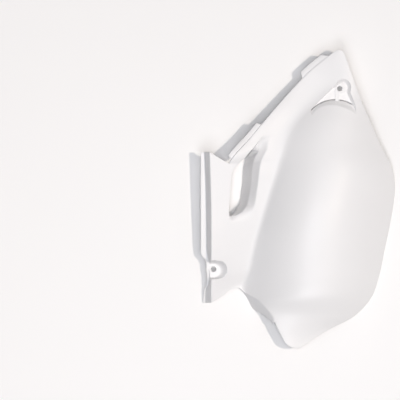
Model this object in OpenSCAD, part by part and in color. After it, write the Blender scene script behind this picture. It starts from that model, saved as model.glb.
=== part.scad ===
// Side number board of a motocross bike: one moulding in polypropylene.
// Outer face up, front of the bike at -X, top at +Y, floor at z = 0.

/* [Board] */
// Length from the lower tip to the apex
board_l = 400; // [340:1:440]
// Width from the front flange to the rear edge
board_w = 260; // [230:1:290]
// Height of the outer face at the top of the front strip
strip_h = 46; // [40:0.5:50]
// Thickness of the moulding
wall = 2.5; // [2:0.1:3]

/* [Bulge] */
// Slope of the bulge where it rises from the crease, in degrees
rise_slope = 40; // [30:1:44]
// Slope of the bulge at the rear edge, in degrees
rear_slope = 45; // [32:1:48]
// Half width of the rounding in the crease
crease_r = 5; // [3:0.5:8]

/* [Front flange] */
// Height of the front wall between the flange and the strip
front_wall_h = 15; // [12:0.5:17]
// Distance that the front wall leans over its height
front_wall_lean = 6.3; // [5:0.1:8]
// Width of the flange beside the middle of the front wall
flange_w = 7.6; // [6:0.2:10]

/* [Vent] */
// Widest part of the vent opening
vent_w = 14.5; // [12:0.5:16]
// Width of the vent wall from the opening to the ridge
vent_wall_w = 21; // [18:0.5:23]
// Drop of the shoulder between the ridge and the steep part of the vent wall
vent_shoulder_h = 11; // [7:0.5:13]

/* [Bolt seats] */
// Diameter of the clearance holes for M6 bolts
bolt_d = 6.5; // [6.2:0.1:7]
// Diameter of the round seat under the upper bolt head
seat_d = 15; // [13:0.5:17]
// Height of the upper seat above the floor of the recess
seat_step = 1.5; // [1:0.1:2.5]
// Depth of the recess below the outer face at the upper bolt
recess_depth = 5; // [4:0.5:6]
// Diameter of the floor of the lower lug
lug_d = 14.4; // [13:0.2:15]
// Distance that the wall around the lower lug leans outward
lug_lean = 5; // [3:0.5:6]

/* [Tongues] */
// Width of the upper tongue beyond the edge
upper_tongue_w = 7.5; // [5:0.5:10]
// Width of the lower tongue beyond the edge
lower_tongue_w = 7; // [5:0.5:10]
// Step from the outer face down to the tongues
tongue_step = 1.8; // [1.2:0.1:2]

/* [Hidden] */

// The form is drawn on stations that run across the board, from the tip (0) over
// the notch (4) and the top of the front strip (9) to the apex (14).
notch = 4;
strip_top = 9;
apex = 14;
kx = board_w / 260;
ky = board_l / 400;
kz = strip_h / 46;

// Rear edge at each station
rear = [[6, -198, 23], [40, -176.5, 12.5], [75, -158, 4.5], [98, -133.5, 2], [108.5, -105, 1.8],
    [116, -70, 1.8], [122.5, -39, 1.8], [127.5, -11, 1.8], [130, 16, 2.2], [125, 43, 7.5],
    [111, 71, 13], [99, 98, 17.5], [88, 123, 21.5], [76.5, 153, 26.5], [62, 194, 32]];
// Top of the skirt up to the notch, then the crease between strip and bulge
crease = [[-18.5, -191, 28.5], [-27, -174, 30], [-35.5, -156, 29], [-52, -137, 22],
    [-73, -121.5, 4], [-65, -94, 13], [-56, -56, 21], [-44.5, -18, 27], [-33, 19, 30.5],
    [-22, 50, 32.5], [-9, 83, 33], [8, 107, 32], [27, 131, 29], [42, 158, 28], [56, 197, 32.5]];
// Top edge of the front wall, from the notch to the top of the strip
brow = [[-115.5, -140, 18], [-115.8, -99, 31], [-115.5, -59, 37], [-115.8, -20, 40.5],
    [-116.6, 19, 43.5], [-118.2, 61.5, 46]];
// Front edge from the notch up: on the strip it is only a line of the form
edge = [[-97, -128, 0], [-97, -97, 0], [-97, -57, 0], [-97, -18, 0], [-96, 16, 0],
    [-92, 46, 42.3], [-63, 80.5, 39.5], [-38, 110.5, 34.5], [-11, 141.5, 29], [17, 170.5, 27.5],
    [50, 196.5, 31.5]];
// Foot of the skirt, from the end of the skirt up to the notch
skirt_end = 1.5;
skirt = [[-32.5, -167.5, 28], [-46, -156.5, 12], [-60, -148, 0], [-66.5, -136, 0], [-72.5, -127, 0.5],
    [-79.5, -119.5, 5]];
// Share of the rise slope and of the rear slope at each station
rise = [0.05, 0.15, 0.3, 0.8, 1.05, 1, 0.98, 0.92, 0.78, 0.64, 0.52, 0.42, 0.26, 0.06, 0];
fall = [0.25, 0.55, 0.75, 0.93, 1, 1, 1, 1, 1, 0.95, 0.85, 0.78, 0.66, 0.4, 0.06];

// Lines of the vent as shares of the way from the edge to the crease, by station
vent_low = 6.85;
vent_high = 9.5;
vent_k = vent_w / 14.5;
wall_k = vent_wall_w / 21;
lip = [[6.85, 0.11], [7, 0.095], [8, 0.1], [8.5, 0.1], [8.75, 0.13], [9, 0.19], [9.25, 0.25],
    [9.5, 0.27], [9.8, 0.27]];
vent_gap = [[6.85, 2], [7, 4], [7.25, 10], [7.5, 12.5], [8, 14], [8.5, 14.5], [8.75, 12], [9, 7],
    [9.25, 2], [9.5, 1.5]];
vent_break = [[6.85, 6], [7, 10], [7.25, 11], [8, 12], [9, 12], [9.5, 10], [9.8, 4]];
vent_ridge = [[6.85, 20], [7, 13], [7.25, 10], [8, 9], [9, 10], [9.25, 11], [9.5, 9], [9.8, 8]];
// Depths of the foot and of the shoulder below the face, by station
foot_depth = [[6.7, 0], [6.85, 5], [7, 18], [7.25, 29], [7.5, 34], [7.75, 36], [9, 36], [9.25, 34],
    [9.42, 26], [9.52, 8], [9.8, 3], [10, 0]];
shoulder_depth = [[6.7, 0], [7, 0.3], [7.25, 0.7], [7.6, 1], [9, 1], [9.5, 0.6], [9.8, 0.3], [10, 0]];

// Point at parameter u on the smooth line through a list of points
function knot(p, i) = i < 0 ? 2 * p[0] - p[1]
    : i >= len(p) ? 2 * p[len(p) - 1] - p[len(p) - 2] : p[i];
function smooth(p, u) = let(
        i = max(0, min(floor(u), len(p) - 2)), f = u - i,
        a = knot(p, i - 1), b = knot(p, i), c = knot(p, i + 1), d = knot(p, i + 2))
    0.5 * (2 * b + (c - a) * f + (2 * a - 5 * b + 4 * c - d) * f * f
        + (3 * b - a - 3 * c + d) * f * f * f);
function scaled(p) = [p[0] * kx, p[1] * ky, p[2] * kz];
function mix(a, b, f) = a + (b - a) * f;
function plan(p) = [p[0], p[1]];

function rear_at(t) = scaled(smooth(rear, t));
function crease_at(t) = scaled(smooth(crease, t));
function brow_at(t) = scaled(smooth(brow, t - notch));
// On the strip the face is straight from the brow to the crease
function edge_at(t) = let(p = scaled(smooth(edge, t - notch)))
    t > strip_top ? p
    : let(a = brow_at(t), b = crease_at(t)) [p[0], p[1], mix(a[2], b[2], (p[0] - a[0]) / (b[0] - a[0]))];
function skirt_at(t) = scaled(smooth(skirt, (t - skirt_end) / (notch - skirt_end) * (len(skirt) - 1)));

// Cubic from z0 to z1 over a width w, with slopes m0 and m1 at its ends
function cubic(z0, z1, m0, m1, w, f) = let(g = 1 - f)
    z0 * g * g * (1 + 2 * f) + m0 * w * f * g * g + z1 * f * f * (3 - 2 * f) - m1 * w * f * f * g;

// Outer face of the bulge, f from the crease to the rear edge
function bulge(t, f) = let(
        a = crease_at(t), b = rear_at(t), w = plan_length(a, b), m = -tan(rear_slope) * smooth(fall, t))
    [mix(a[0], b[0], f), mix(a[1], b[1], f), cubic(a[2], b[2], rise_at(t), m, w, f) + rounding(t, f * w)];
function plan_length(a, b) = norm(plan(b) - plan(a));
function rise_at(t) = tan(rise_slope) * smooth(rise, t);
// Slope of the front part where it meets the crease: above the vent the crease fades out
fade_start = 8.5;
fade_length = 2.5;
function fade(t) = max(0, min(1, (t - fade_start) / fade_length));
function crease_slope(t) = let(a = edge_at(t), b = crease_at(t))
    mix((b[2] - a[2]) / plan_length(a, b), rise_at(t), fade(t));
// Height that the rounding adds at a distance from the crease
function rounding(t, distance) = t < notch ? 0
    : max(0, rise_at(t) - crease_slope(t)) * pow(max(0, crease_r - distance), 2) / (4 * crease_r);
// Outer face of the front part, f from the edge to the crease
function front(t, f) = let(
        a = edge_at(t), b = crease_at(t), w = plan_length(a, b), m = (b[2] - a[2]) / w)
    [mix(a[0], b[0], f), mix(a[1], b[1], f),
        cubic(a[2], b[2], m, crease_slope(t), w, f) + rounding(t, (1 - f) * w)];

// Points of the vent on one station: lip, foot, steep wall, shoulder and ridge.
// The ridge stays short of the crease, also where the front part is narrow.
ridge_limit = 0.73;
// Height of the foot above the floor, in walls
foot_rest = 0.7;
// The steep part is hollow: at this share of its width it stays below a straight
// wall by this share of its height, in full from the depth given
hollow_at = 0.55;
hollow_share = 0.13;
hollow_depth = 10;
function lowered(p, d) = [p[0], p[1], p[2] - d];
function vent_row(t) = let(
        w = plan_length(edge_at(t), crease_at(t)), f0 = lookup(t, lip),
        gap = lookup(t, vent_gap) * vent_k, steep = lookup(t, vent_break) * wall_k,
        rest = lookup(t, vent_ridge) * wall_k, share = min(1 / w, (ridge_limit - f0) / (gap + steep + rest)),
        f1 = f0 + gap * share, f3 = f1 + steep * share, f4 = f3 + rest * share,
        face = front(t, f1), depth = lookup(t, foot_depth),
        foot = lowered(face, min(depth, face[2] - wall * foot_rest)),
        shoulder = lowered(front(t, f3), lookup(t, shoulder_depth) * vent_shoulder_h),
        p = front(t, mix(f1, f3, hollow_at)), hollow = min(1, depth / hollow_depth) * hollow_share)
    [front(t, f0), foot, [p[0], p[1], mix(foot[2], shoulder[2], hollow_at - hollow)], shoulder, front(t, f4)];

bulge_cells = 13;
// The flange has a straight outer edge. Beside the lower lug it turns inward, and
// the front wall stands steeper. Both go by shares of the full sizes, by station.
flange_x = brow_at(7)[0] - front_wall_lean - flange_w;
lean_share = [[4, 1.3], [4.4, 1.25], [4.6, 0.6], [4.8, 0.3], [5.25, 0.35], [5.5, 0.7], [5.8, 0.95], [6, 1]];
flange_share = [[4, 0.8], [4.4, 0.66], [4.6, 0.45], [4.8, 0.41], [5.3, 0.475], [5.44, 0.6], [5.5, 0.8],
    [5.56, 0.95], [5.62, 1]];
// The skirt stands out a little between its foot and the plate
skirt_bulge = [0, 0, 1];
function skirt_row(t) = let(b = skirt_at(max(t, skirt_end)), c = crease_at(t))
    concat([for (j = [1:skirt_col + 1]) b], [mix(b, c, 0.4) + skirt_bulge, mix(b, c, 0.75) + skirt_bulge]);
function front_row(t) = let(
        a = edge_at(t), c = crease_at(t), w = plan_length(a, c), v = vent_row(t),
        wall_top = t > strip_top ? a : brow_at(t),
        foot = wall_top - [front_wall_lean * lookup(t, lean_share), 0, front_wall_h],
        flange = [wall_top[0] - (wall_top[0] - flange_x) * lookup(t, flange_share), foot[1], foot[2]],
        fr = plan_length(a, v[4]) / w, fe = max(1 - crease_r / w, mix(fr, 1, 0.5)))
    concat([flange, foot, wall_top, mix(wall_top, a, 0.5), a, mix(a, v[0], 0.5)], v,
        [front(t, mix(fr, fe, 0.5)), front(t, fe)]);
function bulge_row(t) = let(fc = crease_r / plan_length(crease_at(t), rear_at(t)))
    [for (f = concat([0, fc], [for (j = [1:bulge_cells]) mix(fc, 1, j / bulge_cells)])) bulge(t, f)];
function row(t) = bowed(t, concat(t < notch ? skirt_row(t) : front_row(t), bulge_row(t)));
// Columns: 0 flange, 1 foot, 2 brow, 4 edge, 6 lip, 7 vent foot, 10 ridge, 13 crease, last rear edge
edge_col = 4;
lip_col = 6;
skirt_col = 10;
crease_col = 13;

// The rows at the tip, at the notch and at the apex bow out between two columns
bow_reach = 0.75;
tip_bow = 5.6;
notch_bow = 4.3;
apex_bow = 1.6;
function arch(p, q, s) = let(f = max(0, min(1, (s[0] - p[0]) / (q[0] - p[0])))) pow(4 * f * (1 - f), 0.75);
function bow(t, r, p) = let(last = r[len(r) - 1])
    t < bow_reach ? -tip_bow * pow(1 - t / bow_reach, 2) * arch(r[crease_col], last, p)
    : t >= notch && t < notch + bow_reach
        ? notch_bow * pow(1 - (t - notch) / bow_reach, 2) * arch(r[edge_col], r[crease_col], p)
    : t > apex - bow_reach ? apex_bow * pow(1 - (apex - t) / bow_reach, 2) * arch(r[edge_col], last, p)
    : 0;
function bowed(t, r) = [for (p = r) p + [0, bow(t, r, p) * ky, 0]];

stations = concat([for (i = [0:15]) i / 4], [for (i = [0:25]) notch + i / 5],
    [for (i = [1:20]) strip_top + i / 4]);
grid = [for (t = stations) row(t)];
rows = len(grid);
cols = len(grid[0]);

// A cell is filled where the moulding has material
function inside(t, j) = t < notch ? j >= crease_col || (j >= skirt_col && t > skirt_end)
    : (t < strip_top || j >= edge_col) && !(j == lip_col && t > vent_low && t < vent_high);
function filled(i, j) = i >= 0 && j >= 0 && i < rows - 1 && j < cols - 1
    && inside((stations[i] + stations[i + 1]) / 2, j);
function unit(v) = v / norm(v);
cell_normals = [for (i = [0:rows - 2]) [for (j = [0:cols - 2]) filled(i, j)
    ? unit(cross(grid[i + 1][j + 1] - grid[i][j], grid[i + 1][j] - grid[i][j + 1])) : [0, 0, 0]]];
// A window is [first row, last row, first column, last column] of cells
whole = [0, rows - 2, 0, cols - 2];
function used(w, i, j) = i >= w[0] && i <= w[1] && j >= w[2] && j <= w[3] && filled(i, j);
function around(w, i, j) = [for (a = [i - 1, i], b = [j - 1, j]) if (used(w, a, b)) cell_normals[a][b]];
function total(v, i = 0) = i == len(v) ? [0, 0, 0] : v[i] + total(v, i + 1);
// The moulding's other side lies one wall below the face, measured square to it
function inward(w, i, j, d) = let(n = around(w, i, j))
    len(n) == 0 ? grid[i][j] : let(m = unit(total(n)), c = max(0.75, m * n[0])) grid[i][j] - m * d / c;

// Closed skin between two depths below the outer face
module skin(top, bottom, w = whole) {
    n = (w[1] - w[0] + 2) * (w[3] - w[2] + 2);
    span = w[3] - w[2] + 2;
    places = [for (i = [w[0]:w[1] + 1], j = [w[2]:w[3] + 1]) [i, j]];
    upper = [for (q = places) inward(w, q[0], q[1], top)];
    lower = [for (q = places) inward(w, q[0], q[1], bottom)];
    cells = [for (i = [w[0]:w[1]], j = [w[2]:w[3]]) if (used(w, i, j)) [i, j]];
    function at(c, i, j) = (c[0] + i - w[0]) * span + c[1] + j - w[2];
    faces = concat(
        [for (c = cells) [at(c, 0, 0), at(c, 1, 0), at(c, 1, 1)]],
        [for (c = cells) [at(c, 0, 0), at(c, 1, 1), at(c, 0, 1)]],
        [for (c = cells) [n + at(c, 0, 0), n + at(c, 1, 1), n + at(c, 1, 0)]],
        [for (c = cells) [n + at(c, 0, 0), n + at(c, 0, 1), n + at(c, 1, 1)]],
        [for (c = cells) if (!used(w, c[0] - 1, c[1])) each rim(at(c, 0, 0), at(c, 0, 1), n)],
        [for (c = cells) if (!used(w, c[0] + 1, c[1])) each rim(at(c, 1, 1), at(c, 1, 0), n)],
        [for (c = cells) if (!used(w, c[0], c[1] - 1)) each rim(at(c, 1, 0), at(c, 0, 0), n)],
        [for (c = cells) if (!used(w, c[0], c[1] + 1)) each rim(at(c, 0, 1), at(c, 1, 1), n)]);
    polyhedron(concat(upper, lower), faces, convexity = 8);
}
function rim(a, b, n) = [[a, b, n + b], [a, n + b, n + a]];
// The origin lies under the middle of the moulding's box
reach = [for (i = [0:rows - 1], j = [0:cols - 1]) if (len(around(whole, i, j)) > 0)
    each [grid[i][j], inward(whole, i, j, wall)]];
function halfway(k) = let(v = [for (p = reach) p[k]]) (min(v) + max(v)) / 2;
middle = [halfway(0), halfway(1), 0];

// Tongue that stands out from the front edge, between two stations at the edge
// and two at its tip, one step below the outer face
tongue_root = 5;
tongue_steps = 5;
module tongue(root, tip, w) {
    function along(t) = plan(edge_at(t + 0.05)) - plan(edge_at(t - 0.05));
    function outward(t) = let(d = along(t)) [-d[1], d[0], 0] / norm(d);
    function section(k) = let(
            t = mix(root[0], root[1], k / tongue_steps), u = mix(tip[0], tip[1], k / tongue_steps),
            a = front(t, tongue_root / plan_length(edge_at(t), crease_at(t))) - [0, 0, tongue_step],
            b = edge_at(u) + outward(u) * w - [0, 0, tongue_step], down = [0, 0, wall])
        [a, b, b - down, a - down];
    points = [for (k = [0:tongue_steps]) each section(k)];
    last = 4 * tongue_steps;
    polyhedron(points, concat(
        [[0, 3, 2], [0, 2, 1], [last, last + 1, last + 2], [last, last + 2, last + 3]],
        [for (k = [0:tongue_steps - 1], q = [0:3]) let(m = 4 * k, r = (q + 1) % 4)
            each [[m + q, m + r, m + 4 + r], [m + q, m + 4 + r, m + 4 + q]]]));
}

// Upper bolt and the recess below it
bolt_t = 12.7;
bolt_f = 0.43;
bolt_face = bulge(bolt_t, bolt_f);
recess_tilt = 5;
recess_floor = bolt_face - [0, 0, recess_depth];
corners = [[-8, 4], [-40, -28], [-38, -35], [20, -40], [22, -24], [10, 4]];
corner_r = 3;
// The seat stands off the middle of the hole, with a margin up to the wall of the recess
seat_at = [2.2, 0.6];
seat_margin = 2;
module recess_outline(grow) {
    offset(r = corner_r + grow, $fn = 24) offset(delta = -corner_r)
        polygon([for (c = corners) [c[0] * kx, c[1] * ky]]);
    translate(seat_at) circle(d = seat_d + 2 * seat_margin + 2 * grow, $fn = 48);
}
module in_recess() {
    translate(recess_floor) rotate([0, recess_tilt, 0]) children();
}
// The nose of the bulge ends in a cone of 45 degrees that the recess meets at its foot
nose_r = 44;
nose_h = 18;
nose_at = [-6 * kx, -59 * ky, 0];
module nose(grow) {
    translate(nose_at - [0, 0, grow * sqrt(2)])
        cylinder(r1 = nose_r, r2 = nose_r - nose_h, h = nose_h, $fn = 96);
}
// The body of the recess starts just below the outer face
body_top = 0.4;
recess_reach = 11;
recess_window = [rows - 16, rows - 2, edge_col + 3, cols - 2];
module recess_body() {
    intersection() {
        skin(body_top, recess_reach, recess_window);
        in_recess() translate([0, 0, -wall]) difference() {
            linear_extrude(nose_h) recess_outline(wall);
            nose(wall);
        }
    }
}
// Rib from the seat across the groove to the nose
rib_w = 5.5;
rib_l = 30;
rib_x = -3.5;
module rib(depth, h) {
    translate([rib_x - rib_w / 2, -rib_l, -depth]) cube([rib_w, rib_l, depth + h]);
}
module recess_cut() {
    in_recess() difference() {
        linear_extrude(nose_h) recess_outline(0);
        nose(0);
        translate(seat_at) cylinder(d = seat_d, h = seat_step, $fn = 48);
        rib(1, seat_step);
    }
}
// Groove between the floor and the nose; it reaches a little under the nose
slot_w = 1.1;
slot_depth = 1.7;
slot_under = 0.6;
module slot() {
    in_recess() difference() {
        translate([0, 0, -slot_depth]) intersection() {
            linear_extrude(slot_depth + slot_under) recess_outline(0);
            translate(nose_at) difference() {
                cylinder(r = nose_r + slot_w, h = slot_depth + slot_under, $fn = 96);
                translate([0, 0, -1]) cylinder(r = nose_r - slot_under, h = slot_depth + 3, $fn = 96);
            }
        }
        rib(slot_depth + 1, wall);
    }
}

// Lower lug: a pocket in the strip that opens onto the flange
lug_t = notch + 1.1;
lug_bolt_in = 3;
lug_depth = 8;
lug_floor = [brow_at(lug_t)[0], brow_at(lug_t)[1], brow_at(lug_t)[2] - front_wall_h];
lug_bolt = lug_floor + [lug_bolt_in, 0, 0];
lug_end = lug_bolt + [lug_depth, 0, 0];
lug_out = (brow_at(lug_t)[0] - flange_x) * lookup(lug_t, flange_share);
lug_top = front_wall_h + 4;
lug_reach = front_wall_h + 8;
lug_window = [16, 24, 2, 9];
module lug_form(grow, h) {
    run = lug_lean * h / front_wall_h;
    hull() for (x = [0, -lug_d - 4])
        translate([x, 0, 0]) cylinder(d1 = lug_d + 2 * grow, d2 = lug_d + 2 * (run + grow), h = h, $fn = 48);
}
module lug_body() {
    intersection() {
        skin(body_top, lug_reach, lug_window);
        translate(lug_end - [0, 0, wall]) lug_form(wall, lug_top);
    }
    translate(lug_floor - [lug_out, lug_d / 2, wall]) cube([lug_out + lug_bolt_in + lug_depth, lug_d, wall]);
    translate(lug_end - [0, 0, wall]) cylinder(d = lug_d, h = wall, $fn = 48);
}
module lug_cut() {
    translate(lug_end) lug_form(0, lug_top);
}

// Clearance hole for a bolt that goes down through a floor one wall thick
module bolt_hole(floor_at) {
    translate(floor_at - [0, 0, 4 * wall]) cylinder(d = bolt_d, h = 8 * wall, $fn = 48);
}

module number_board() {
    color("white") translate(-middle) difference() {
        union() {
            skin(0, wall);
            recess_body();
            lug_body();
            tongue([12.52, 13.77], [12.74, 13.57], upper_tongue_w);
            tongue([9.03, 10.57], [9.22, 10.51], lower_tongue_w);
        }
        recess_cut();
        slot();
        lug_cut();
        bolt_hole(recess_floor);
        bolt_hole(lug_bolt);
        // What would reach below the floor is trimmed flat
        translate([-board_w, -board_l, -2 * wall]) cube([2 * board_w, 2 * board_l, 2 * wall]);
    }
}

number_board();
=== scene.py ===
# Side number board of a motocross bike, outer face up on a white table
import math
import bpy
import numpy as np
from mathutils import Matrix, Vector
from mathutils.bvhtree import BVHTree


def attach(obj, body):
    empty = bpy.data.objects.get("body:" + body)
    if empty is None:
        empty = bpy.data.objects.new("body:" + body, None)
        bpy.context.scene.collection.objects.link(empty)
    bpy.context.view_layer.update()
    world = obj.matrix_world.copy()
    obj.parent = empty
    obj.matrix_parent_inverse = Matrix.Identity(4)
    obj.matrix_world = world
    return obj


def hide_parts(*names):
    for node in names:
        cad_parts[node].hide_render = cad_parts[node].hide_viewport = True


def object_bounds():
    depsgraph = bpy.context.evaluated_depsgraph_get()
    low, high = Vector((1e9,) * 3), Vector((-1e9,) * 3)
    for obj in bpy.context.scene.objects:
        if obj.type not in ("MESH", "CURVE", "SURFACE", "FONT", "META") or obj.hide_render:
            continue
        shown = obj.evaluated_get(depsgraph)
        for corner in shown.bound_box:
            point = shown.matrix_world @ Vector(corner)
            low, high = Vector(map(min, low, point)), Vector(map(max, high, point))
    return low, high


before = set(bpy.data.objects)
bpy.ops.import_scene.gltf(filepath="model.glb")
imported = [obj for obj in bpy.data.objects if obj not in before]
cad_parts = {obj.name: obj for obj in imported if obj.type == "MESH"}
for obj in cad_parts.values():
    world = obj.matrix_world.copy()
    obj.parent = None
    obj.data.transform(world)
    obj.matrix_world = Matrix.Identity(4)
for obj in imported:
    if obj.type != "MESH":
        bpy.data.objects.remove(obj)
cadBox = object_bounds()
mm = 0.001

# Lines of the form in mm, one point for each station from the tip (0) over the
# notch (4) and the top of the front strip (9) to the apex (14)
form = {
    "notch": 4.0,
    "stripTop": 9.0,
    "apex": 14.0,
    "skirtEnd": 1.5,
    "wall": 2.5,
    "riseSlope": 40.0,      # degrees
    "rearSlope": 45.0,
    "creaseRadius": 5.0,
    "fadeFrom": 8.5,        # station where the crease starts to fade
    "fadeOver": 2.5,
    "rear": [(6, -198, 23), (40, -176.5, 12.5), (75, -158, 4.5), (98, -133.5, 2), (108.5, -105, 1.8),
             (116, -70, 1.8), (122.5, -39, 1.8), (127.5, -11, 1.8), (130, 16, 2.2), (125, 43, 7.5),
             (111, 71, 13), (99, 98, 17.5), (88, 123, 21.5), (76.5, 153, 26.5), (62, 194, 32)],
    "crease": [(-18.5, -191, 28.5), (-27, -174, 30), (-35.5, -156, 29), (-52, -137, 22),
               (-73, -121.5, 4), (-65, -94, 13), (-56, -56, 21), (-44.5, -18, 27), (-33, 19, 30.5),
               (-22, 50, 32.5), (-9, 83, 33), (8, 107, 32), (27, 131, 29), (42, 158, 28), (56, 197, 32.5)],
    "brow": [(-115.5, -140, 18), (-115.8, -99, 31), (-115.5, -59, 37), (-115.8, -20, 40.5),
             (-116.6, 19, 43.5), (-118.2, 61.5, 46)],
    "edge": [(-97, -128, 0), (-97, -97, 0), (-97, -57, 0), (-97, -18, 0), (-96, 16, 0),
             (-92, 46, 42.3), (-63, 80.5, 39.5), (-38, 110.5, 34.5), (-11, 141.5, 29), (17, 170.5, 27.5),
             (50, 196.5, 31.5)],
    "skirt": [(-32.5, -167.5, 28), (-46, -156.5, 12), (-60, -148, 0), (-66.5, -136, 0),
              (-72.5, -127, 0.5), (-79.5, -119.5, 5)],
    "rise": [0.05, 0.15, 0.3, 0.8, 1.05, 1, 0.98, 0.92, 0.78, 0.64, 0.52, 0.42, 0.26, 0.06, 0],
    "fall": [0.25, 0.55, 0.75, 0.93, 1, 1, 1, 1, 1, 0.95, 0.85, 0.78, 0.66, 0.4, 0.06],
    "bowReach": 0.75,       # stations over which an end bows out
    "bowPower": 0.75,
    "tipBow": 5.6,
    "notchBow": 4.3,
    "apexBow": 1.6,
    "skirtRadius": 2.0,
    "skirtBulge": 1.0,
    "skirtBlend": 8.0,      # mm of skirt below which its round shrinks
    "smoothing": 60,        # passes that even out the direction of the wall's thickness
    "leastLean": 0.75,
    "trim": 0.05,           # mm left where the moulding is trimmed flat
    "edgeRadius": 0.4,
    "edgeAngle": 40.0,
    "sharpAngle": 35.0,
}

# Flange and front wall; the pairs are (station, share of the full size)
flange = {
    "station": 7,           # where the full width is measured
    "wallHeight": 15.0,
    "wallLean": 6.3,
    "width": 7.6,
    "leanShare": [(4, 1.3), (4.4, 1.25), (4.6, 0.6), (4.8, 0.3), (5.25, 0.35), (5.5, 0.7), (5.8, 0.95),
                  (6, 1)],
    "outShare": [(4, 0.8), (4.4, 0.66), (4.6, 0.45), (4.8, 0.41), (5.3, 0.475), (5.44, 0.6), (5.5, 0.8),
                 (5.56, 0.95), (5.62, 1)],
    "footRadius": 1.2,
    "browRadius": 1.4,
}

# Vent scoop; the pairs are (station, mm or share)
vent = {
    "low": 6.85,
    "high": 9.5,
    "lip": [(6.85, 0.11), (7, 0.095), (8, 0.1), (8.5, 0.1), (8.75, 0.13), (9, 0.19), (9.25, 0.25),
            (9.5, 0.27), (9.8, 0.27)],
    "gap": [(6.85, 3), (7, 8), (7.25, 13), (7.5, 14), (8, 15), (8.5, 15.5), (8.75, 13), (9, 7.5), (9.25, 2),
            (9.5, 1.5)],
    "steep": [(6.85, 6), (7, 10), (7.25, 11), (8, 12), (9, 12), (9.5, 10), (9.8, 4)],
    "ridge": [(6.85, 20), (7, 13), (7.25, 10), (8, 9), (9, 10), (9.25, 11), (9.5, 9), (9.8, 8)],
    "footDepth": [(6.7, 0), (6.85, 5), (7, 18), (7.25, 29), (7.5, 34), (7.75, 36), (9, 36), (9.25, 34),
                  (9.42, 26), (9.52, 8), (9.8, 3), (10, 0)],
    "footLeast": 0.7,       # least height of the foot over the table, in walls
    "shoulderDepth": [(6.7, 0), (7, 0.3), (7.25, 0.7), (7.6, 1), (9, 1), (9.5, 0.6), (9.8, 0.3), (10, 0)],
    "shoulder": 11.0,
    "ridgeLimit": 0.73,
    "hollowAt": 0.55,       # share of the way from the foot to the shoulder
    "hollowSink": 0.13,
    "hollowDepth": 10.0,    # depth of the foot from which the hollow is full
    "hollowRadius": 5.0,
    "shoulderRadius": 1.3,
    "ridgeRadius": 2.6,
}

# Rows of the mesh: (station where the stretch ends, rows in it)
rowStretches = [(1.5, 16), (4, 30), (4.66, 12), (5.6, 40), (6.85, 16), (9, 52), (9.5, 16), (11.25, 22),
                (13.1, 88), (14, 16)]

# Cells across a row, and points in each of its rounds
cells = {"flange": 4, "wall": 8, "strip": 20, "lip": 3, "opening": 6, "foot": 2, "scoop": 3, "shoulder": 6,
         "front": 8, "crease": 4, "bulge": 80}
rounds = {"foot": 4, "brow": 5, "hollow": 6, "shoulder": 4, "ridge": 5}


def lookup(t, pairs):
    return float(np.interp(t, [p[0] for p in pairs], [p[1] for p in pairs]))


def mix(a, b, f):
    return a + (b - a) * f


def tangent(degrees):
    return math.tan(math.radians(degrees))


def smooth(points, u):
    # Smooth line through points that stand at u = 0, 1, 2 and so on
    p = np.array(points, float)
    p = np.concatenate([[2 * p[0] - p[1]], p, [2 * p[-1] - p[-2]]])
    i = max(0, min(int(math.floor(u)), len(points) - 2))
    f = u - i
    a, b, c, d = p[i:i + 4]
    return 0.5 * (2 * b + (c - a) * f + (2 * a - 5 * b + 4 * c - d) * f ** 2
                  + (3 * b - a - 3 * c + d) * f ** 3)


def flatLength(a, b):
    return max(float(np.hypot(b[0] - a[0], b[1] - a[1])), 1e-6)


def rearAt(t):
    return smooth(form["rear"], t)


def creaseAt(t):
    return smooth(form["crease"], t)


def browAt(t):
    return smooth(form["brow"], t - form["notch"])


def edgeAt(t):
    # On the strip the edge is a line on the face between the brow and the crease
    p = smooth(form["edge"], t - form["notch"])
    if t > form["stripTop"] + 1e-6:
        return p
    a, b = browAt(t), creaseAt(t)
    p[2] = mix(a[2], b[2], (p[0] - a[0]) / (b[0] - a[0]))
    return p


def skirtAt(t):
    share = (t - form["skirtEnd"]) / (form["notch"] - form["skirtEnd"])
    return smooth(form["skirt"], share * (len(form["skirt"]) - 1))


def riseAt(t):
    return tangent(form["riseSlope"]) * float(smooth(form["rise"], t))


def creaseSlope(t):
    # Slope of the front part where it meets the crease
    if t < form["notch"]:
        return 0.0
    a, b = edgeAt(t), creaseAt(t)
    soft = max(0.0, min(1.0, (t - form["fadeFrom"]) / form["fadeOver"]))
    return mix((b[2] - a[2]) / flatLength(a, b), riseAt(t), soft)


def cubic(z0, z1, m0, m1, w, f):
    # Height between two ends from their heights and slopes
    g = 1 - f
    return z0 * g * g * (1 + 2 * f) + m0 * w * f * g * g + z1 * f * f * (3 - 2 * f) - m1 * w * f * f * g


def curved(a, b, z, f):
    return np.stack([mix(a[0], b[0], f), mix(a[1], b[1], f), z], axis=-1)


def rounding(kink, distance):
    r = form["creaseRadius"]
    return max(0.0, kink) * np.maximum(0, r - distance) ** 2 / (4 * r)


def bulge(t, f):
    # Outer face from the crease (f = 0) to the rear edge (f = 1)
    f = np.asarray(f, float)
    a, b = creaseAt(t), rearAt(t)
    w = flatLength(a, b)
    m0, m1 = riseAt(t), -tangent(form["rearSlope"]) * float(smooth(form["fall"], t))
    kink = 0.0 if t < form["notch"] else m0 - creaseSlope(t)
    return curved(a, b, cubic(a[2], b[2], m0, m1, w, f) + rounding(kink, f * w), f)


def front(t, f):
    # Outer face from the front edge (f = 0) to the crease (f = 1)
    f = np.asarray(f, float)
    a, b = edgeAt(t), creaseAt(t)
    w = flatLength(a, b)
    m0, m1 = (b[2] - a[2]) / w, creaseSlope(t)
    return curved(a, b, cubic(a[2], b[2], m0, m1, w, f) + rounding(riseAt(t) - m1, (1 - f) * w), f)


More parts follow.
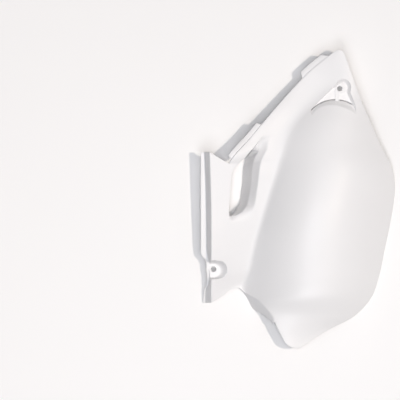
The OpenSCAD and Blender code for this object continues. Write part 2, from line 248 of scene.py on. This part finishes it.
def ventShares(t):
    # Shares of the width at the lip, the foot, the shoulder and the ridge
    w = flatLength(edgeAt(t), creaseAt(t))
    lip = lookup(t, vent["lip"])
    widths = [lookup(t, vent[k]) for k in ("gap", "steep", "ridge")]
    share = min(1 / w, (vent["ridgeLimit"] - lip) / sum(widths))
    return np.cumsum([lip] + [v * share for v in widths])


def ventPoints(t):
    f0, f1, f3, f4 = ventShares(t)
    lip, foot, shoulder, ridge = [front(t, f) for f in (f0, f1, f3, f4)]
    depth = lookup(t, vent["footDepth"])
    foot[2] -= min(depth, foot[2] - form["wall"] * vent["footLeast"])
    shoulder[2] -= lookup(t, vent["shoulderDepth"]) * vent["shoulder"]
    middle = front(t, mix(f1, f3, vent["hollowAt"]))
    sink = vent["hollowSink"] * min(1, depth / vent["hollowDepth"])
    middle[2] = mix(foot[2], shoulder[2], vent["hollowAt"] - sink)
    return lip, foot, middle, shoulder, ridge


def line(a, b, count):
    # Points after a up to b
    s = np.linspace(0, 1, count + 1)[1:, None]
    return a + (b - a) * s


def fillet(a, b, c, radius, count):
    # Round the corner at b between a and c
    before, after = np.linalg.norm(a - b), np.linalg.norm(c - b)
    p = b + (a - b) * min(0.45, radius / max(before, 1e-6))
    q = b + (c - b) * min(0.45, radius / max(after, 1e-6))
    s = np.linspace(0, 1, count)[:, None]
    return (1 - s) ** 2 * p + 2 * s * (1 - s) * b + s ** 2 * q


flangeX = browAt(flange["station"])[0] - flange["wallLean"] - flange["width"]
column = {}     # index of the named columns


def crossRow(t):
    # All points of one row, with the same number of points at every station
    c = creaseAt(t)
    reach = form["creaseRadius"] / flatLength(c, rearAt(t))
    rear = bulge(t, np.concatenate([np.linspace(0, reach, cells["crease"] + 1)[1:],
                                    np.linspace(reach, 1, cells["bulge"] + 1)[1:]]))
    crease = bulge(t, 0.0)
    if t < form["notch"]:
        b = skirtAt(max(t, form["skirtEnd"]))
        s = np.linspace(0, 1, cells["front"] + cells["crease"] + 1)[1:-1, None]
        side = b + (crease - b) * s
        side[:, 2] += form["skirtBulge"] * np.sin(math.pi * s[:, 0])
        return np.concatenate([np.repeat(b[None], column["ridge"] + 1, 0), side, crease[None], rear])
    onStrip = t <= form["stripTop"] + 1e-6
    edge = edgeAt(t)
    brow = browAt(t) if onStrip else edge
    foot = brow - [flange["wallLean"] * lookup(t, flange["leanShare"]), 0, flange["wallHeight"]]
    rim = np.array([brow[0] - (brow[0] - flangeX) * lookup(t, flange["outShare"]), foot[1], foot[2]])
    lip, ventFoot, hollow, shoulder, ridge = ventPoints(t)
    parts = [rim[None]]

    def add(name, points):
        parts.append(points)
        column[name] = sum(len(p) for p in parts) - 1

    curve = fillet(rim, foot, brow, flange["footRadius"], rounds["foot"])
    add("foot", np.concatenate([line(rim, curve[0], cells["flange"]), curve[1:]]))
    top = np.repeat(edge[None], rounds["brow"], 0)
    if onStrip:
        top = fillet(foot, brow, edge, flange["browRadius"], rounds["brow"])
    add("brow", np.concatenate([line(curve[-1], top[0], cells["wall"]), top[1:]]))
    add("edge", line(top[-1], edge, cells["strip"]))
    add("lip", line(edge, lip, cells["lip"]))
    add("ventFoot", line(lip, ventFoot, cells["opening"]))
    curve = fillet(ventFoot, hollow, shoulder, vent["hollowRadius"], rounds["hollow"])
    add("hollow", np.concatenate([line(ventFoot, curve[0], cells["foot"]), curve[1:]]))
    nextCurve = fillet(hollow, shoulder, ridge, vent["shoulderRadius"], rounds["shoulder"])
    add("shoulder", np.concatenate([line(curve[-1], nextCurve[0], cells["scoop"]), nextCurve[1:]]))
    share = flatLength(edge, ridge) / flatLength(edge, c)
    end = max(1 - form["creaseRadius"] / flatLength(edge, c), mix(share, 1, 0.5))
    firstStep = front(t, mix(share, end, 1 / cells["front"]))
    curve = fillet(shoulder, ridge, firstStep, vent["ridgeRadius"], rounds["ridge"])
    add("ridge", np.concatenate([line(nextCurve[-1], curve[0], cells["shoulder"]), curve[1:]]))
    add("front", front(t, np.linspace(share, end, cells["front"] + 1)[1:]))
    add("crease", np.concatenate([front(t, np.linspace(end, 1, cells["crease"] + 1)[1:-1]), crease[None]]))
    add("rear", rear)
    return np.concatenate(parts)


def roundedCrease(row, t):
    # The skirt meets the plate in a small round
    k = column["crease"]
    if form["skirtEnd"] < t < form["notch"]:
        n = cells["crease"] - 1
        size = min(1.0, flatLength(row[k], row[column["ridge"]]) / form["skirtBlend"])
        row[k - n:k + n + 1] = fillet(row[k - n - 1], row[k], row[k + n + 1],
                                      form["skirtRadius"] * size, 2 * n + 1)
    return row


def arch(p, q, x):
    f = np.clip((x - p) / (q - p), 0, 1)
    return (4 * f * (1 - f)) ** form["bowPower"]


def bowed(row, t):
    # The rows at the tip, at the notch and at the apex bow out
    reach = form["bowReach"]
    x = row[:, 0]
    last = x[-1]
    edge, crease = x[column["edge"]], x[column["crease"]]
    if t < reach:
        row[:, 1] -= form["tipBow"] * (1 - t / reach) ** 2 * arch(crease, last, x)
    elif form["notch"] <= t < form["notch"] + reach:
        row[:, 1] += form["notchBow"] * (1 - (t - form["notch"]) / reach) ** 2 * arch(edge, crease, x)
    elif t > form["apex"] - reach:
        row[:, 1] += form["apexBow"] * (1 - (form["apex"] - t) / reach) ** 2 * arch(edge, last, x)
    return row


crossRow(form["notch"] + 1)     # names the columns
stations = [0.0]
for end, count in rowStretches:
    stations += list(np.linspace(stations[-1], end, count + 1)[1:])
outer = np.array([bowed(roundedCrease(crossRow(t), t), t) for t in stations])
rowCount, columnCount = outer.shape[:2]
print("form:", rowCount, "rows of", columnCount)


def cellFilled(t, j):
    # Where the moulding has material
    if t < form["notch"]:
        return j >= column["crease"] or (j >= column["ridge"] and t > form["skirtEnd"])
    if t > form["stripTop"] and j < column["edge"]:
        return False
    return not (column["lip"] <= j < column["ventFoot"] and vent["low"] < t < vent["high"])


middles = [(a + b) / 2 for a, b in zip(stations, stations[1:])]
filled = np.array([[cellFilled(t, j) for j in range(columnCount - 1)] for t in middles])


def unit(v):
    return v / np.maximum(np.linalg.norm(v, axis=-1, keepdims=True), 1e-9)


def vertexNormals(points):
    # Mean normal of the filled cells round each point
    cell = np.cross(points[1:, 1:] - points[:-1, :-1], points[1:, :-1] - points[:-1, 1:])
    cell = unit(cell) * filled[..., None]
    total = np.zeros_like(points)
    for a in (0, 1):
        for b in (0, 1):
            total[a:rowCount - 1 + a, b:columnCount - 1 + b] += cell
    return unit(total)


def evened(field, passes):
    # Neighbours are averaged only along edges that a filled cell touches
    pad = np.pad(filled, 1)
    alongRow = (pad[:-1, 1:-1] | pad[1:, 1:-1]).astype(float)[..., None]
    alongColumn = (pad[1:-1, :-1] | pad[1:-1, 1:]).astype(float)[..., None]
    for _ in range(passes):
        total = field * 2.0
        weight = np.full(field.shape[:2] + (1,), 2.0)
        total[:, 1:] += field[:, :-1] * alongRow
        total[:, :-1] += field[:, 1:] * alongRow
        weight[:, 1:] += alongRow
        weight[:, :-1] += alongRow
        total[1:] += field[:-1] * alongColumn
        total[:-1] += field[1:] * alongColumn
        weight[1:] += alongColumn
        weight[:-1] += alongColumn
        field = total / weight
    return field


normal = vertexNormals(outer)
direction = unit(evened(normal, form["smoothing"]))
lean = np.maximum(form["leastLean"], np.sum(direction * normal, axis=-1, keepdims=True))
inner = outer - direction * form["wall"] / lean

# Lower lug: a pocket in the strip that opens onto the flange
lug = {
    "station": 5.1,
    "boltIn": 3.0,
    "floorEnd": (0.0, -2.2),    # middles of the round ends, seen from the bolt
    "floorRadius": 9.0,
    "rimEnd": (6.3, -0.9),
    "rimRadius": 12.2,
    "hollow": 2,                # power of the wall's curve
}
lugFloor = browAt(lug["station"]) - [0, 0, flange["wallHeight"]]
lugBolt = lugFloor + [lug["boltIn"], 0, 0]


def outsideEnd(points, end, radius):
    # Distance outside a shape that is open towards the flange and round at its other end
    x, y = points[..., 0] - lugBolt[0] - end[0], points[..., 1] - lugBolt[1] - end[1]
    return np.where(x > 0, np.hypot(x, y), np.abs(y)) - radius


def pressed(points, wall):
    # The floor runs into the wall in a hollow, which is wide at the pocket's round end
    fromFloor = outsideEnd(points, lug["floorEnd"], lug["floorRadius"] + wall)
    toRim = -outsideEnd(points, lug["rimEnd"], lug["rimRadius"] + wall)
    share = np.clip(fromFloor / np.maximum(fromFloor + toRim, 0.01), 0, 1)
    share = np.where(toRim < 0, 1, np.where(fromFloor < 0, 0, share))
    floor = np.minimum(lugFloor[2] - wall, points[..., 2])
    points[..., 2] = mix(floor, points[..., 2], share ** lug["hollow"])


pressed(outer, 0)
pressed(inner, form["wall"])
outer[..., 2] = np.maximum(outer[..., 2], form["trim"])
inner[..., 2] = np.maximum(inner[..., 2], 0)


def shellMesh(name):
    # Outer face, inner face and the rims between them
    used = np.zeros((rowCount, columnCount), bool)
    for a in (0, 1):
        for b in (0, 1):
            used[a:rowCount - 1 + a, b:columnCount - 1 + b] |= filled
    index = -np.ones((rowCount, columnCount), int)
    index[used] = np.arange(used.sum())
    count = int(used.sum())
    vertices = np.concatenate([outer[used], inner[used]])
    faces = []
    rims = []
    pad = np.pad(filled, 1)
    for i, j in np.argwhere(filled):
        a, b, c, d = index[i, j], index[i, j + 1], index[i + 1, j + 1], index[i + 1, j]
        faces.append((a, b, c, d))
        faces.append((count + d, count + c, count + b, count + a))
        sides = [(pad[i, j + 1], a, b), (pad[i + 1, j + 2], b, c),
                 (pad[i + 2, j + 1], c, d), (pad[i + 1, j], d, a)]
        for neighbour, p, q in sides:
            if not neighbour:
                faces.append((q, p, count + p, count + q))
                rims += [(p, q), (count + p, count + q)]
    mesh = bpy.data.meshes.new(name)
    mesh.from_pydata((vertices * mm).tolist(), [], faces)
    mesh.update()
    weight = mesh.attributes.new("bevel_weight_edge", "FLOAT", "EDGE")
    wanted = {tuple(sorted(e)) for e in rims}
    for e in mesh.edges:
        if tuple(sorted(e.vertices)) in wanted:
            weight.data[e.index].value = 1.0
    return mesh


def objectFrom(mesh):
    piece = bpy.data.objects.new(mesh.name, mesh)
    bpy.context.scene.collection.objects.link(piece)
    return piece


def applied(piece):
    # The mesh with its modifiers worked in
    graph = bpy.context.evaluated_depsgraph_get()
    mesh = bpy.data.meshes.new_from_object(piece.evaluated_get(graph))
    piece.modifiers.clear()
    piece.data = mesh
    return piece


def bevelled(piece, limit):
    # Small round along the weighted edges or the sharp ones
    bevel = piece.modifiers.new("roundEdges", "BEVEL")
    bevel.limit_method = limit
    bevel.angle_limit = math.radians(form["edgeAngle"])
    bevel.width = form["edgeRadius"] * mm
    bevel.segments = 2
    return applied(piece)


def combine(target, other, how):
    step = target.modifiers.new(how, "BOOLEAN")
    step.operation = how
    step.solver = "MANIFOLD"
    step.object = other
    applied(target)
    bpy.data.objects.remove(other)


def lofted(name, rings):
    # Closed body through rings of points, from the lowest to the highest
    rings = [np.array(ring) for ring in rings]
    n = len(rings[0])
    points = np.concatenate(rings + [[rings[0].mean(0)], [rings[-1].mean(0)]])
    last = n * (len(rings) - 1)
    faces = []
    for j in range(n):
        k = (j + 1) % n
        faces.append((k, j, len(points) - 2))
        faces.append((last + j, last + k, len(points) - 1))
        for m in range(0, last, n):
            faces.append((m + j, m + k, m + n + k, m + n + j))
    mesh = bpy.data.meshes.new(name)
    mesh.from_pydata((points * mm).tolist(), [], faces)
    mesh.update()
    return objectFrom(mesh)


board = bevelled(objectFrom(shellMesh("numberBoard")), "WEIGHT")
print("shell:", len(board.data.polygons), "faces")

# Bolt recess: a triangular pocket whose foot meets the nose of the bulge; places in mm from the bolt
recess = {
    "station": 12.7,
    "share": 0.43,
    "depth": 5.0,
    "tilt": 5.0,                # degrees, down towards the rear edge
    "corners": [(-8, 4), (-40, -28), (-38, -35), (20, -40), (22, -24), (10, 4)],
    "leans": [1.0, 1.0, 1.0, 4.0, 3.5, 2.0],    # of the walls over the full depth, one for each side
    "middle": (-4, -18),
    "widest": 90.0,
    "softness": 0.9,            # rounds the corners
    "seat": (2.2, 0.6),
    "seatRadius": 7.2,
    "seatStep": 1.5,
    "seatRound": [(-0.4, 0.0), (-0.1, 0.15), (0.0, 0.45)],  # (above the seat's face, inward)
    "sunk": -1.0,               # bottom of the seat and the rib, inside the floor
    "pocket": (3.6, 1.2),       # its round end lies beside the seat, so the wall there is widest
    "pocketRadius": 11.6,
    "pocketLean": 4.4,
    "profile": [(0, -1.1), (0.05, -0.5), (0.3, -0.15), (0.9, 0), (5, 0), (9, 0)],  # (height, outward)
    "nose": (-6, -59),
    "noseRadius": 44.0,
    "noseFoot": -6.0,
    "noseHeight": 12.0,
    "noseSlope": 0.95,          # inward for each mm up
    "noseLean": 0.25,
    "slit": (-0.5, 0.8, -6.0, 0.5),     # inner and outer side, bottom and top
    "slitReach": 0.3,           # how far the slit runs past the outline
    "slitSteps": 60,
    "slitAngles": 1441,         # angles that are tried to find its ends
    "ribMiddle": -3.5,
    "ribWidth": 5.5,
    "ribEnd": -18.5,
    "ribRound": [(-0.3, 0.0), (0.0, 0.3)],
    "cover": 1.2,               # mm from the outer face down to the top of the pocket's own body
    "faceFrom": 11,             # station from which the face is searched for that height
    "points": 240,
}
boltFace = bulge(recess["station"], recess["share"])


def softMin(a, b, k):
    # Smaller of two values, rounded where they meet
    h = np.clip(0.5 + 0.5 * (b - a) / k, 0, 1)
    return b + (a - b) * h - k * h * (1 - h)


def inRecess(x, y, h):
    # From the floor of the recess to the board
    tilt = math.radians(recess["tilt"])
    x, y, h = np.broadcast_arrays(x, y, h)
    place = np.stack([x * math.cos(tilt) + h * math.sin(tilt), y + 0.0,
                      h * math.cos(tilt) - x * math.sin(tilt)], axis=-1)
    return place + boltFace - [0, 0, recess["depth"]]


def outlineDistance(x, y, height):
    # Distance outside the recess's outline at a height above its floor, negative inside
    s = recess
    corners = s["corners"]
    below = 1 - height / s["depth"]
    total = 0
    for (ax, ay), (bx, by), wallLean in zip(corners, corners[1:] + corners[:1], s["leans"]):
        outside = ((x - ax) * (ay - by) + (y - ay) * (bx - ax)) / -math.hypot(bx - ax, by - ay)
        total = total + np.exp((outside + wallLean * below) / s["softness"])
    side = s["softness"] * np.log(total)
    end = np.hypot(x - s["pocket"][0], y - s["pocket"][1]) - s["pocketRadius"] + s["pocketLean"] * below
    return softMin(side, end, s["softness"])


def outline(outward, height):
    # The outline at a height, moved outward
    s = recess
    angle = np.linspace(0, 2 * math.pi, s["points"], endpoint=False)
    low, high = np.zeros_like(angle), np.full_like(angle, s["widest"])
    for _ in range(40):     # halvings
        r = (low + high) / 2
        x, y = s["middle"][0] + r * np.cos(angle), s["middle"][1] + r * np.sin(angle)
        beyond = outlineDistance(x, y, height) > outward
        high, low = np.where(beyond, r, high), np.where(beyond, low, r)
    return inRecess(x, y, height)


def circle(middle, radius, height, count=recess["points"]):
    angle = np.linspace(0, 2 * math.pi, count, endpoint=False)
    return inRecess(middle[0] + radius * np.cos(angle), middle[1] + radius * np.sin(angle), height)


def noseCone(name, inward):
    # Leaning cone, steep at the left; the inner one lies one wall below the outer one
    s = recess
    rings = []
    for h in (s["noseFoot"], s["noseHeight"]):
        middle = (s["nose"][0] - s["noseLean"] * h, s["nose"][1])
        rings.append(circle(middle, s["noseRadius"] - inward * math.sqrt(2) - s["noseSlope"] * h, h))
    return lofted(name, rings)


def faceHeights(x, y):
    # Height of the outer face above points of the table
    cell = [(i * columnCount + j, i * columnCount + j + 1, (i + 1) * columnCount + j + 1,
             (i + 1) * columnCount + j) for i, j in np.argwhere(filled) if stations[i] > recess["faceFrom"]]
    tree = BVHTree.FromPolygons(outer.reshape(-1, 3).tolist(), cell)
    above, down = 200, Vector((0, 0, -1))
    return np.array([tree.ray_cast(Vector((a, b, above)), down)[0].z for a, b in zip(x, y)])


def recessBody():
    low = outline(form["wall"], -form["wall"])
    high = outline(form["wall"], recess["depth"])
    high[:, 2] = faceHeights(high[:, 0], high[:, 1]) - recess["cover"]
    body = lofted("recessBody", [low, high])
    combine(body, noseCone("innerNose", form["wall"]), "DIFFERENCE")
    return body


def recessCut():
    cut = lofted("recessCut", [outline(outward, height) for height, outward in recess["profile"]])
    combine(cut, noseCone("outerNose", 0), "DIFFERENCE")
    return cut


def slitCut(side):
    # Narrow slit along the foot of the nose, on one side of the rib
    s = recess
    inside, outside, bottom, top = s["slit"]
    angle = np.linspace(0, math.pi, s["slitAngles"])
    x = s["nose"][0] + s["noseRadius"] * np.cos(angle)
    y = s["nose"][1] + s["noseRadius"] * np.sin(angle)
    clearOfRib = (x - s["ribMiddle"]) * side > s["ribWidth"] / 2
    part = angle[(outlineDistance(x, y, 0.0) < s["slitReach"]) & clearOfRib]
    rings = []
    for a in np.linspace(part[0], part[-1], s["slitSteps"]):
        ends = [(outside, bottom), (inside, bottom), (inside, top), (outside, top)]
        rings.append([inRecess(s["nose"][0] + (s["noseRadius"] + r) * math.cos(a),
                               s["nose"][1] + (s["noseRadius"] + r) * math.sin(a), h) for r, h in ends])
    return lofted("slit", rings)


def seatDisc():
    s = recess
    rings = [(s["sunk"], 0.0)] + [(s["seatStep"] + up, inset) for up, inset in s["seatRound"]]
    return lofted("seat", [circle(s["seat"], s["seatRadius"] - inset, h) for h, inset in rings])


def rib():
    s = recess
    half = s["ribWidth"] / 2
    rings = []
    for h, inset in [(s["sunk"], 0.0)] + [(s["seatStep"] + up, inset) for up, inset in s["ribRound"]]:
        a, b = s["ribMiddle"] - half + inset, s["ribMiddle"] + half - inset
        rings.append(inRecess(np.array([a, b, b, a]), np.array([s["ribEnd"], s["ribEnd"], 0, 0]), h))
    return lofted("rib", rings)


combine(board, recessBody(), "UNION")
combine(board, recessCut(), "DIFFERENCE")
for side in (-1, 1):
    combine(board, slitCut(side), "DIFFERENCE")
combine(board, seatDisc(), "UNION")
combine(board, rib(), "UNION")
print("recess:", len(board.data.polygons), "faces")

# Tongues that reach out from under the front edge; stations at the root and at the tip
tongues = {
    "step": 2.1,
    "root": 4.0,
    "steps": 24,
    "near": 0.05,           # stations on either side that give the edge's direction
    "upper": {"root": (12.52, 13.77), "tip": (12.74, 13.57), "width": 7.5},
    "lower": {"root": (9.03, 10.57), "tip": (9.22, 10.51), "width": 7.0},
}


def tongue(name, settings):
    points = []
    for k in range(tongues["steps"] + 1):
        share = k / tongues["steps"]
        t, u = mix(*settings["root"], share), mix(*settings["tip"], share)
        along = edgeAt(u + tongues["near"]) - edgeAt(u - tongues["near"])
        out = np.array([-along[1], along[0], 0]) / math.hypot(along[0], along[1])
        a = front(t, tongues["root"] / flatLength(edgeAt(t), creaseAt(t))) - [0, 0, tongues["step"]]
        b = edgeAt(u) + out * settings["width"] - [0, 0, tongues["step"]]
        down = np.array([0, 0, form["wall"]])
        points += [a, b, b - down, a - down]
    faces = [(0, 1, 2, 3)]
    for k in range(tongues["steps"]):
        for q in range(4):
            a, b = 4 * k + q, 4 * k + (q + 1) % 4
            faces.append((b, a, a + 4, b + 4))
    last = 4 * tongues["steps"]
    faces.append((last + 3, last + 2, last + 1, last))
    mesh = bpy.data.meshes.new(name)
    mesh.from_pydata((np.array(points) * mm).tolist(), [], faces)
    mesh.update()
    return bevelled(objectFrom(mesh), "ANGLE")


for side in ("upper", "lower"):
    combine(board, tongue(side + "Tongue", tongues[side]), "UNION")
print("tongues:", len(board.data.polygons), "faces")

# Holes for the two bolts, clearance for M6
bolt = {
    "radius": 3.25,
    "chamfer": 0.9,
    "length": 24.0,
    "points": 64,
}


def boltCut(place):
    bpy.ops.mesh.primitive_cylinder_add(vertices=bolt["points"], radius=bolt["radius"] * mm,
                                        depth=bolt["length"] * mm, location=Vector(place) * mm)
    return bpy.context.object


def upperCircle(radius, height):
    return circle((0, 0), radius, recess["seatStep"] + height, bolt["points"])


def lugCircle(radius, height):
    angle = np.linspace(0, 2 * math.pi, bolt["points"], endpoint=False)
    ring = np.stack([radius * np.cos(angle), radius * np.sin(angle), np.full_like(angle, height)], axis=-1)
    return ring + lugBolt


def chamferCut(circleAt):
    # Widens a hole from below the face to above it
    low, high = -bolt["chamfer"], bolt["chamfer"] / 2
    return lofted("chamfer", [circleAt(bolt["radius"], low), circleAt(bolt["radius"] + high - low, high)])


for place in (boltFace - [0, 0, recess["depth"]], lugBolt):
    combine(board, boltCut(place), "DIFFERENCE")
for circleAt in (upperCircle, lugCircle):
    combine(board, chamferCut(circleAt), "DIFFERENCE")
print("bolt holes:", len(board.data.polygons), "faces")

# The CAD model's origin lies under the middle of its box, and the board stays inside that box
points = np.empty(len(board.data.vertices) * 3)
board.data.vertices.foreach_get("co", points)
points = points.reshape(-1, 3)
low, high = points.min(0), points.max(0)
fit = np.minimum(1, np.array(cadBox[1] - cadBox[0]) / (high - low))
shift = np.array((cadBox[0] + cadBox[1]) / 2) - (low + high) / 2 * fit
shift[2] = 0
board.data.vertices.foreach_set("co", (points * fit + shift).ravel())
board.data.update()
print("shift in mm:", [round(float(s) / mm, 2) for s in shift], "fit:", [round(float(s), 5) for s in fit])
for polygon in board.data.polygons:
    polygon.use_smooth = True
board.data.set_sharp_from_angle(angle=math.radians(form["sharpAngle"]))
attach(board, "root")
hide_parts("number_board")


def linear(code):
    # sRGB hex to a linear colour
    parts = [int(code[i:i + 2], 16) / 255 for i in (1, 3, 5)]
    return tuple(c / 12.92 if c <= 0.04045 else ((c + 0.055) / 1.055) ** 2.4 for c in parts) + (1.0,)


def addNode(tree, kind, settings, links=()):
    # One node with its settings, by property or socket; links are (own input, other node, its output)
    node = tree.nodes.new(kind)
    for key, value in settings.items():
        if isinstance(key, str) and hasattr(node, key):
            setattr(node, key, value)
        else:
            node.inputs[key].default_value = value
    for socket, other, output in links:
        tree.links.new(other.outputs[output], node.inputs[socket])
    return node


def newMaterial(name):
    material = bpy.data.materials.new(name)
    material.use_nodes = True
    material.node_tree.nodes.clear()
    return material, material.node_tree


# Injection-moulded polypropylene: an even white with a soft gloss, slightly mottled
# where the melt cooled, with the faint unevenness of a polished mould
polypropylene = {
    "light": "#F0EFEF",
    "shade": "#ECEBEB",
    "mottleMm": 45.0,
    "grainMm": 0.9,             # coarser than the real mould finish, so that it shows at all
    "roughness": 0.42,
    "ior": 1.49,
    "bumpMm": 0.02,
    "bumpStrength": 0.6,
}


def panelMaterial():
    s = polypropylene
    material, tree = newMaterial("injectionMouldedPolypropylene")
    place = addNode(tree, "ShaderNodeTexCoord", {})
    mottle = addNode(tree, "ShaderNodeTexNoise", {"Scale": 1 / (s["mottleMm"] * mm), "Detail": 3.0},
                     [("Vector", place, "Object")])
    grain = addNode(tree, "ShaderNodeTexNoise", {"Scale": 1 / (s["grainMm"] * mm), "Detail": 2.0},
                    [("Vector", place, "Object")])
    tint = addNode(tree, "ShaderNodeMix", {"data_type": "RGBA", 6: linear(s["shade"]), 7: linear(s["light"])},
                   [(0, mottle, "Fac")])
    bump = addNode(tree, "ShaderNodeBump", {"Distance": s["bumpMm"] * mm, "Strength": s["bumpStrength"]},
                   [("Height", grain, "Fac")])
    shader = addNode(tree, "ShaderNodeBsdfPrincipled", {"Roughness": s["roughness"], "IOR": s["ior"]},
                     [("Base Color", tint, 2), ("Normal", bump, "Normal")])
    addNode(tree, "ShaderNodeOutputMaterial", {}, [("Surface", shader, 0)])
    return material


board.data.materials.clear()
board.data.materials.append(panelMaterial())
print("material: moulded polypropylene")

# White laminate, a little uneven in tone and without gloss
table = {
    "size": 3000.0,
    "light": "#FAF9F8",
    "shade": "#F9F8F7",
    "cloudsPerMetre": 6.0,
    "roughness": 0.6,
}


def tableTop():
    s = table
    bpy.ops.mesh.primitive_plane_add(size=s["size"] * mm, location=(0, 0, 0))
    piece = bpy.context.object
    piece.name = "tableTop"
    material, tree = newMaterial("whiteLaminate")
    place = addNode(tree, "ShaderNodeTexCoord", {})
    cloud = addNode(tree, "ShaderNodeTexNoise", {"Scale": s["cloudsPerMetre"], "Detail": 2.0},
                    [("Vector", place, "Object")])
    tint = addNode(tree, "ShaderNodeMix", {"data_type": "RGBA", 6: linear(s["shade"]), 7: linear(s["light"])},
                   [(0, cloud, "Fac")])
    shader = addNode(tree, "ShaderNodeBsdfPrincipled", {"Roughness": s["roughness"]},
                     [("Base Color", tint, 2)])
    addNode(tree, "ShaderNodeOutputMaterial", {}, [("Surface", shader, 0)])
    piece.data.materials.append(material)


tableTop()
print("table top")

# Soft studio light: a dim sky, a key lamp from the right, a soft lamp straight above that
# lights what lies deep, and a broad fill over the board's tip that lights the table there
light = {
    "skyLow": 0.05,
    "skyHigh": 0.40,
    "skyFrom": (0.15, 0.0, 0.989),
    "skyColour": "#F4F7FF",
    "key": 1.08,
    "keyColour": "#FFF4E8",
    "keyFrom": (0.5, 0.03, 1.0),
    "keyAngle": 1.5,            # degrees, for the crisp shadow edges
    "top": 0.75,
    "topColour": "#FCFCFF",
    "topFrom": (0.0, 0.0, 1.0),
    "topAngle": 14.0,
    "fill": 3.6,                # watts
    "fillColour": "#F8FAFF",
    "fillAt": (-0.04, -0.38, 1.2),
    "fillSize": 0.6,
}


def studio():
    s = light
    world = bpy.data.worlds.new("studio")
    world.use_nodes = True
    tree = world.node_tree
    shade = tree.nodes["Background"]
    shade.inputs["Color"].default_value = linear(s["skyColour"])
    # The sky is brightest overhead and towards the key lamp
    ray = addNode(tree, "ShaderNodeTexCoord", {})
    toward = addNode(tree, "ShaderNodeVectorMath", {"operation": "DOT_PRODUCT", 1: s["skyFrom"]},
                     [(0, ray, "Generated")])
    strength = addNode(tree, "ShaderNodeMapRange", {"From Min": 0.0, "From Max": 1.0, "To Min": s["skyLow"],
                                                    "To Max": s["skyHigh"]}, [("Value", toward, "Value")])
    tree.links.new(strength.outputs["Result"], shade.inputs["Strength"])
    bpy.context.scene.world = world
    for name in ("key", "top"):
        sun = bpy.data.lights.new(name, "SUN")
        sun.energy = s[name]
        sun.color = linear(s[name + "Colour"])[:3]
        sun.angle = math.radians(s[name + "Angle"])
        lamp = bpy.data.objects.new(name, sun)
        lamp.rotation_euler = Vector(s[name + "From"]).to_track_quat("Z", "Y").to_euler()
        bpy.context.scene.collection.objects.link(lamp)
    area = bpy.data.lights.new("fill", "AREA")
    area.energy = s["fill"]
    area.color = linear(s["fillColour"])[:3]
    area.size = s["fillSize"]
    lamp = bpy.data.objects.new("fill", area)
    lamp.location = s["fillAt"]
    lamp.rotation_euler = Vector(s["fillAt"]).to_track_quat("Z", "Y").to_euler()
    bpy.context.scene.collection.objects.link(lamp)


studio()
print("studio light")

# The camera looks straight down, without perspective
view = {
    "pixels": 400,
    "mmPerPixel": 1.337,
    "boardX": 297.8,        # pixel of the form's own zero point
    "boardY": 198.15,
    "height": 2000.0,       # mm above the table
    "far": 10000.0,
}


def photoCamera():
    s = view
    data = bpy.data.cameras.new("camera")
    data.type = "ORTHO"
    data.ortho_scale = s["pixels"] * s["mmPerPixel"] * mm
    data.clip_end = s["far"] * mm
    camera = bpy.data.objects.new("camera", data)
    middle = s["pixels"] / 2
    x = (middle - s["boardX"]) * s["mmPerPixel"] * mm + shift[0]
    y = (s["boardY"] - middle) * s["mmPerPixel"] * mm + shift[1]
    camera.location = (x, y, s["height"] * mm)
    camera.rotation_euler = (0, 0, 0)
    bpy.context.scene.collection.objects.link(camera)
    bpy.context.scene.camera = camera


photoCamera()
bpy.context.scene.view_settings.view_transform = "Standard"
print("camera")
